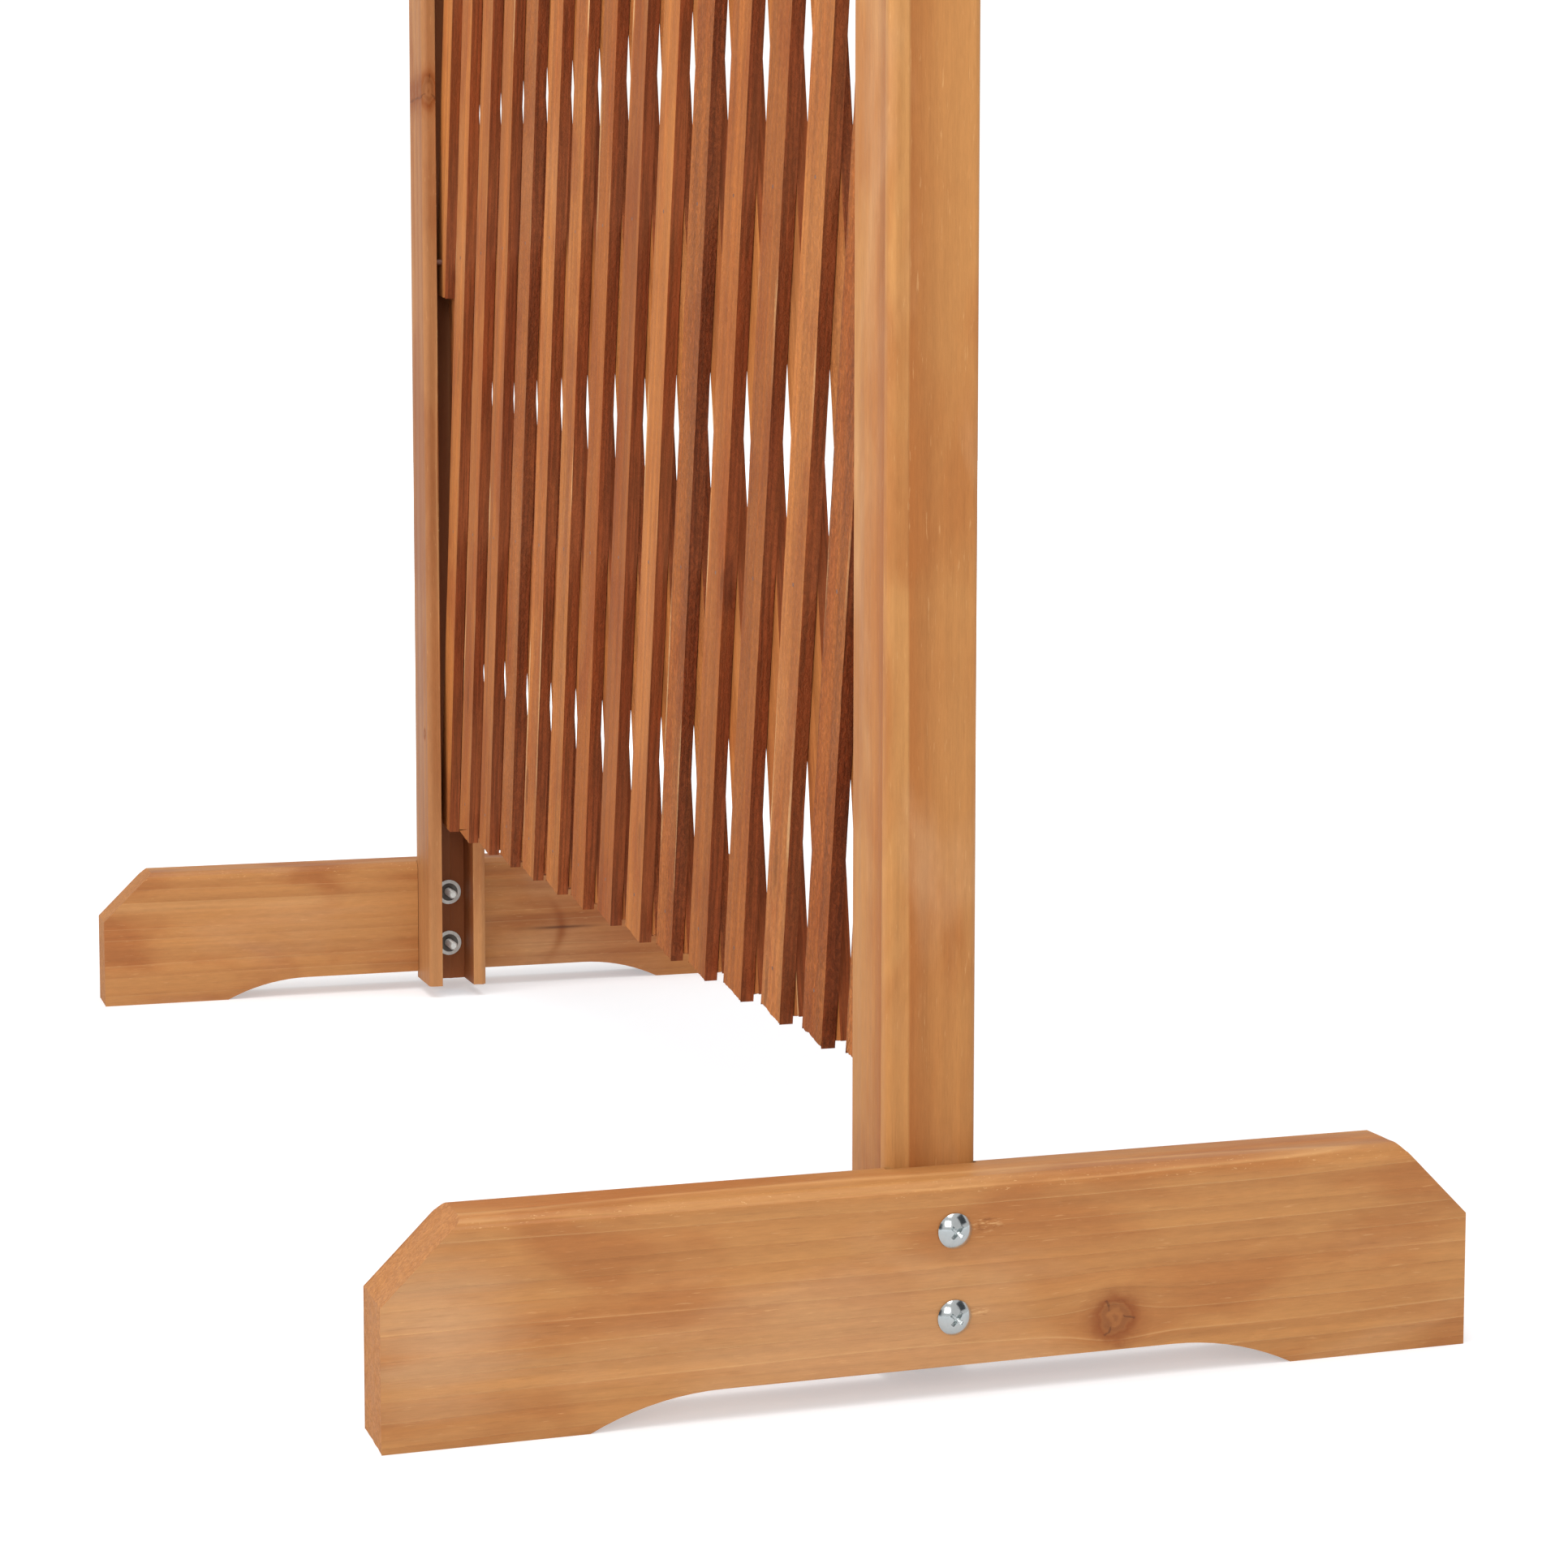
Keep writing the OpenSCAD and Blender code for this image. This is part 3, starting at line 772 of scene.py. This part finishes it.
def slat(node, side, material, rng, coarse):
    """One slat, with the crooked edges and torn ends of a thin sawn strip."""
    shape = whole_faces(node)
    along = Vector((side * math.sin(LEAN), 0, math.cos(LEAN)))
    across = Vector((math.cos(LEAN), 0, -side * math.sin(LEAN)))
    low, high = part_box(node)
    middle = (low + high) / 2
    lot = rng.uniform(0, 10)
    finish = {"tone": rng.uniform(-0.5, 0.5), "lot": lot, "coarse": coarse}

    def long_edge(edge):
        run = (edge.verts[1].co - edge.verts[0].co).normalized()
        return abs(run.dot(along)) > 0.999 and edge.calc_length() > 0.05

    round_arrises(shape, long_edge, SLAT_ARRIS)
    cut_across(shape, list(shape.faces), along, SLAT_STRIP)
    depth = SLAT_TEAR + COARSE_TEAR * coarse
    sawn = fray_ends(shape, along, depth=depth, lot=lot, **SLAT_ENDS)
    place_across = shape.verts.layers.float.new("off_line")
    for corner in shape.verts:
        offset = corner.co - middle
        off_line = offset.dot(across) / SLAT_HALF_WIDTH
        corner[place_across] = off_line
        run = offset.dot(along)
        bow = SLAT_BOW * noise.noise(Vector((run * BOWS_A_METRE, lot, 0)))
        width = 0.0
        for far, often, seed in SLAT_WIDTH_WAVES:
            width += far * noise.noise(Vector((run * often, lot, seed)))
        tooth = noise.noise(Vector((run * TEETH_A_METRE, lot, corner.co.y * TEETH_THROUGH)))
        width += SAW_TEETH * (0.3 + coarse) * tooth
        corner.co += across * (abs(off_line) * bow + off_line * width)
    for label, value in finish.items():
        layer = shape.faces.layers.float[label]
        for face in shape.faces:
            face[layer] = value
    return stand_for(shape, node, material, flat=sawn)


# Shapes of metal


def close_rows(shape, rows):
    """Joins rows of corners, listed from the lowest up, to one closed solid."""
    for lower, upper in zip(rows, rows[1:]):
        for k in range(len(lower)):
            after = (k + 1) % len(lower)
            shape.faces.new((lower[k], lower[after], upper[after], upper[k]))
    shape.faces.new(rows[0][::-1])
    shape.faces.new(rows[-1])


def turned(shape, profile, steps, place):
    """A solid of revolution about Z. Each row has a height, and a radius or one for each angle."""
    rows = []
    for height, radius in profile:
        row = []
        for step in range(steps):
            angle = 2 * math.pi * step / steps
            reach = radius(angle) if callable(radius) else radius
            corner = Vector((reach * math.cos(angle), reach * math.sin(angle), height))
            row.append(shape.verts.new(place @ corner))
        rows.append(row)
    close_rows(shape, rows)


def thread(height):
    """The thread's radius at each angle, at one height."""
    def reach(angle):
        turn = (height / THREAD_PITCH - angle / (2 * math.pi)) % 1
        return BOLT_RADIUS - THREAD_DEPTH * abs(2 * turn - 1)

    return reach


def bolt_profile():
    """From the tip, past the thread and the plain shank, to the top of the domed head."""
    tip, thread_end = -BOLT_LENGTH, -BOLT_LENGTH + THREAD_LENGTH
    core = BOLT_RADIUS - THREAD_DEPTH
    profile = [(tip, BOLT_RADIUS * 0.7), (tip + 0.0004, core)]
    height = tip + 0.0006
    while height < thread_end:
        profile.append((height, thread(height)))
        height += THREAD_PITCH / THREAD_STEPS
    profile += [(thread_end, core), (thread_end + 0.0006, BOLT_RADIUS), (0.0, BOLT_RADIUS)]
    profile += [(0.0, HEAD_RADIUS - HEAD_RIM_EASE), (HEAD_RIM_EASE, HEAD_RADIUS)]
    profile.append((HEAD_RIM, HEAD_RADIUS))
    dome_height = HEAD_HEIGHT - HEAD_RIM
    dome_radius = (HEAD_RADIUS ** 2 + dome_height ** 2) / (2 * dome_height)
    full = math.asin(HEAD_RADIUS / dome_radius)
    for k in range(1, DOME_STEPS):
        angle = full * (1 - k / DOME_STEPS)
        rise = dome_radius * math.cos(angle) - (dome_radius - dome_height)
        profile.append((HEAD_RIM + rise, dome_radius * math.sin(angle)))
    return profile


def cross_cutter(span, width, deep):
    """The driver's cross, tapered towards its bottom, with its arms between X and Y."""
    shape = bmesh.new()
    half = width / 2

    def outline(reach, half, height):
        corners = []
        for k in range(4):
            turn = Matrix.Rotation(math.pi / 4 * (2 * k + 1), 3, "Z")
            for x, y in ((half, -half), (reach, -half * 0.9), (reach, half * 0.9)):
                corners.append(shape.verts.new(turn @ Vector((x, y, height))))
        return corners

    top = outline(span, half, HEAD_HEIGHT + 0.002)
    middle = outline(span * 0.8, half * 0.7, HEAD_HEIGHT - deep * 0.45)
    bottom = outline(span * 0.3, half * 0.25, HEAD_HEIGHT - deep)
    close_rows(shape, (bottom, middle, top))
    return shape


def carved(shape, cutter):
    """The mesh that is left of a shape when a cutter is taken out of it."""
    things = []
    for made, label in ((shape, "carved"), (cutter, "cutter")):
        bmesh.ops.recalc_face_normals(made, faces=made.faces)
        mesh = bpy.data.meshes.new(label)
        made.to_mesh(mesh)
        made.free()
        things.append(bpy.data.objects.new(label, mesh))
        scene.collection.objects.link(things[-1])
    body, tool = things
    carve = body.modifiers.new("carve", "BOOLEAN")
    carve.operation, carve.object, carve.solver = "DIFFERENCE", tool, "EXACT"
    bpy.context.view_layer.update()
    shown = body.evaluated_get(bpy.context.evaluated_depsgraph_get())
    left = bpy.data.meshes.new_from_object(shown)
    for thing in things:
        bpy.data.meshes.remove(thing.data)
    return left


def bolt_shape():
    """One bolt along Z with the underside of its head at 0, as a mesh."""
    shape = bmesh.new()
    turned(shape, bolt_profile(), BOLT_SIDES, Matrix.Identity(4))
    return carved(shape, cross_cutter(span=0.0041, width=0.0023, deep=0.0029))


def bolts(node, sign, one_bolt, material, turns):
    """The two bolts of one foot, each turned to its own angle in its hole."""
    shape = bmesh.new()
    lie = Matrix.Rotation(math.pi / 2 * sign, 4, "Y")
    for height, turn in zip(BOLT_HEIGHTS, turns):
        single = one_bolt.copy()
        seat = Matrix.Translation((sign * FOOT_OUTER_X, 0, height))
        single.transform(seat @ lie @ Matrix.Rotation(turn, 4, "Z"))
        shape.from_mesh(single)
        bpy.data.meshes.remove(single)
    return stand_for(shape, node, material, node + "_zinc")


def sharp(edge):
    """Where two faces meet at more than about fifty degrees."""
    return edge.calc_face_angle(0) > 0.9


def tee_nuts(node, sign, material):
    """The two tee nuts of one post, each with the mouth of its barrel pressed into a funnel."""
    shape = whole_faces(node)
    round_arrises(shape, sharp, NUT_ARRIS)
    low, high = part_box(node)
    flange = low.x if sign > 0 else high.x
    outwards = Matrix.Rotation(-math.pi / 2 * sign, 4, "Y")
    funnels = bmesh.new()
    for height in BOLT_HEIGHTS:
        turned(funnels, FUNNEL, FUNNEL_SIDES, Matrix.Translation((flange, 0, height)) @ outwards)
    left = carved(shape, funnels)
    shape = bmesh.new()
    shape.from_mesh(left)
    bpy.data.meshes.remove(left)
    # The funnel's walls are marked for painted shade
    mouth = shape.faces.layers.float["groove"]
    for face in shape.faces:
        spot = face.calc_center_median()
        off_axis = min(math.hypot(spot.y, spot.z - height) for height in BOLT_HEIGHTS)
        if off_axis < FUNNEL[-1][1] and abs(face.normal.x) < 0.99:
            face[mouth] = 1.0
    return stand_for(shape, node, material, node + "_zinc")


def pivot_screw(node, material):
    """A CAD screw with its sharp edges taken off."""
    shape = whole_faces(node)
    round_arrises(shape, sharp, SCREW_ARRIS)
    return stand_for(shape, node, material, node + "_zinc")


# Woods of this object

near_foot_wood = stained_wood(
    "near_foot_wood", FOOT_SHADES, LAYING, cloud_size=0.05, bands=0.28, lines=0.42, pores=0.15,
    rings={"Pith": (0.47, 0, -0.19), "Ring Width": 0.009, "Wander": 0.02},
    knots=[((0.534, 0.0758, 0.0278), X, 0.0086, 1.0)],
    torn=[((0.534, 0.0135, 0.0745), 0.011), ((0.534, 0.0115, 0.0365), 0.007)],
    patches=[((0.534, -0.225, 0.045), 0.05, "pale")],
)
rear_foot_wood = stained_wood(
    "rear_foot_wood", REAR_FOOT_SHADES, LAYING, cloud_size=0.05, bands=0.25, lines=0.3, pores=0.1,
    rings={"Pith": (-0.56, 0, 0.27), "Ring Width": 0.012, "Wander": 0.012},
    spikes=[((-0.498, 0.088, 0.041), X, 0.016)],
    # Painted shade: a darker patch beside the rear post, below the lattice
    patches=[((-0.498, 0.15, 0.05), 0.13, "deep")],
)
near_post_wood = stained_wood(
    "near_post_wood", POST_SHADES, UPRIGHT, cloud_size=0.045, bands=0.9, lines=0.1, pores=0.12,
    shine=0.18,
    rings={"Pith": (0.40, 0.06, 0), "Ring Width": 0.03, "Wander": 0.006, "Start": 0.309},
)
rear_post_wood = stained_wood(
    "rear_post_wood", REAR_POST_SHADES, UPRIGHT, cloud_size=0.05, bands=0.7, lines=0.4, pores=0.15,
    shine=0.18,
    rings={"Pith": (-0.62, 0.05, 0), "Ring Width": 0.012, "Wander": 0.008},
    knots=[((-0.458, -0.0165, 0.655), X, 0.005, 2.2), ((-0.47, -0.021, 0.193), Y, 0.003, 1.0)],
    patches=[((-0.47, 0, 0.02), 0.1, "pale")],
)
front_slat_wood, back_slat_wood = (
    stained_wood(
        name, SLAT_SHADES, turn, cloud_size=0.04, bands=0.4, lines=0.3, gloss=0.75, shine=0.15,
        rings={"Pith": (0.0, pith, 0), "Ring Width": 0.006, "Wander": 0.012},
    )
    for name, turn, pith in (
        ("front_slat_wood", FRONT_TURN, 0.12), ("back_slat_wood", BACK_TURN, 0.14),
    )
)
bolt_zinc = zinc("bolt_zinc", tint(222, 226, 226), roughness=0.13, clouded=0.06)
nut_zinc = zinc("nut_zinc", tint(238, 240, 234), roughness=0.3, clouded=0.16, bright=0.35)
stained_pin = zinc("stained_pin", tint(190, 186, 176), roughness=0.4, clouded=0.28, stained=True)

foot("near_foot", near_foot_wood, lot=3.1)
foot("rear_foot", rear_foot_wood, lot=8.4)
post("near_post", near_post_wood, lot=5.2)
post("rear_post", rear_post_wood, lot=1.9)
rng = random.Random(SLAT_SEED)
for number in range(1, FRONT_SLATS + 1):
    coarse = ROUGH_SAWN.get(number, rng.choice((0.25, 0.4, 0.6)))
    slat(f"front_slat_{number}", 1, front_slat_wood, rng, coarse)
for number in range(1, BACK_SLATS + 1):
    coarse = rng.choice((0.25, 0.4, 0.7))
    slat(f"back_slat_{number}", -1, back_slat_wood, rng, coarse)

one_bolt = bolt_shape()
bolts("near_bolts", 1, one_bolt, bolt_zinc, turns=(0.12, 0.05))
bolts("rear_bolts", -1, one_bolt, nut_zinc, turns=(0.5, -0.3))
for end, sign in (("near", 1), ("rear", -1)):
    tee_nuts(f"{end}_tee_nuts", sign, nut_zinc)
    pivot_screw(f"{end}_pivot_screw", stained_pin)
for number in range(1, BACK_SLATS + 1):
    pins = frame["nodes"][f"pins_{number}"]
    pins.data.materials.clear()
    pins.data.materials.append(stained_pin)


# Floor, light and camera

LAMPS_AIM = Vector((0.1, 0, 0.6))
FLOOR_SIZE = 60
SKY_LIGHT, SKY_SEEN = 0.56, 1.1
FLOOR_SHADE, FLOOR_MIRRORED = (0.75, 0.72, 0.71, 1), (0.4, 0.4, 0.4, 1)
FLOOR_GLOW = (0.82, 0.93, 1, 1)
CARD_SHADE = (0.02, 0.022, 0.025, 1)


def flat_card(name, centre, size, towards, material):
    """A square sheet that belongs to the studio and not to the object."""
    shape = bmesh.new()
    bmesh.ops.create_grid(shape, x_segments=1, y_segments=1, size=size / 2)
    mesh = bpy.data.meshes.new(name)
    shape.to_mesh(mesh)
    shape.free()
    mesh.materials.append(material)
    card = bpy.data.objects.new(name, mesh)
    card.location, card.rotation_euler = centre, towards.to_track_quat("Z", "Y").to_euler()
    scene.collection.objects.link(card)
    return card


def floor_white():
    """White that a shadow still darkens. It glows a little everywhere and more far out, where the
    lamps don't reach, and mirrors show it greyer and dimmer.
    """
    material, w, sheet = new_material("floor_white")
    sheet.inputs["Roughness"].default_value = 1.0
    sheet.inputs["Specular IOR Level"].default_value = 0.0
    sheet.inputs["Emission Color"].default_value = FLOOR_GLOW
    mirrored = w.add("LightPath").outputs["Is Glossy Ray"]
    w.put(w.mix(mirrored, FLOOR_SHADE, FLOOR_MIRRORED), sheet.inputs["Base Color"])
    out = w.vector("LENGTH", w.add("TexCoord").outputs["Object"], out=1)
    glow = w.scale(out, 1.0, 3.0, 0.4, 1.3)
    glow = w.sum("MULTIPLY", glow, w.scale(mirrored, 0.0, 1.0, 1.0, 0.6))
    w.put(glow, sheet.inputs["Emission Strength"])
    return material


def card_dark():
    """Near black, for cards that give the bright metal something dark to mirror."""
    material, _, sheet = new_material("card_dark")
    sheet.inputs["Base Color"].default_value = CARD_SHADE
    return material


def studio():
    """The white room: its floor, its lamps, and the light from all round."""
    for thing in [t for t in scene.objects if t.type in ("LIGHT", "CAMERA") or t.name == "Cube"]:
        bpy.data.objects.remove(thing)
    world = bpy.data.worlds.new("white_room")
    scene.world = world
    world.use_nodes = True
    w = Wiring(world.node_tree)
    sky = world.node_tree.nodes["Background"]
    sky.inputs["Color"].default_value = (1, 1, 1, 1)
    seen = w.add("LightPath").outputs["Is Camera Ray"]
    w.put(w.scale(seen, 0, 1, SKY_LIGHT, SKY_SEEN, smooth=False), sky.inputs["Strength"])
    flat_card("floor", (0, 0, 0), FLOOR_SIZE, Z, floor_white())

    # Dark cards that only the bright metal mirrors
    dark = card_dark()
    for name, centre, size in (
        ("right_card", Vector((1.5, 1.7, 1.3)), 1.5),
        ("left_card", Vector((1.3, -1.9, 0.5)), 1.0),
    ):
        card = flat_card(name, centre, size, -centre, dark)
        card.visible_camera = card.visible_diffuse = card.visible_shadow = False

    for name, place, size, watts in (
        ("overhead", (0.4, -0.3, 3.4), 3.0, 85),
        ("left_softbox", (0.9, -3.2, 1.8), 1.6, 30),
        ("front_softbox", (3.4, -1.4, 1.8), 1.6, 24),
    ):
        lamp = bpy.data.lights.new(name, "AREA")
        lamp.energy, lamp.size = watts, size
        holder = bpy.data.objects.new(name, lamp)
        holder.location = place
        aim = LAMPS_AIM - Vector(place)
        holder.rotation_euler = aim.to_track_quat("-Z", "Y").to_euler()
        scene.collection.objects.link(holder)
    scene.view_settings.view_transform = "Standard"


def camera():
    """The photograph's view, found from corners of the posts and feet. Angles are in radians."""
    place = Vector((1.7643, -0.4847, 0.4196))
    heading, rise, roll = 0.3196, -0.0855, 0.0009
    level = math.cos(rise)
    ahead = Vector((-math.cos(heading) * level, math.sin(heading) * level, math.sin(rise)))
    right = ahead.cross(Z).normalized()
    up = right.cross(ahead)
    tilted_right = right * math.cos(roll) + up * math.sin(roll)
    tilted_up = up * math.cos(roll) - right * math.sin(roll)
    lens = bpy.data.cameras.new("photograph_view")
    lens.sensor_width, lens.lens, lens.shift_y, lens.clip_start = 36, 71.78, -0.06, 0.05
    view = bpy.data.objects.new("photograph_view", lens)
    turn = Matrix((tilted_right, tilted_up, -ahead)).transposed().to_4x4()
    view.matrix_world = Matrix.Translation(place) @ turn
    scene.collection.objects.link(view)
    scene.camera = view


studio()
camera()
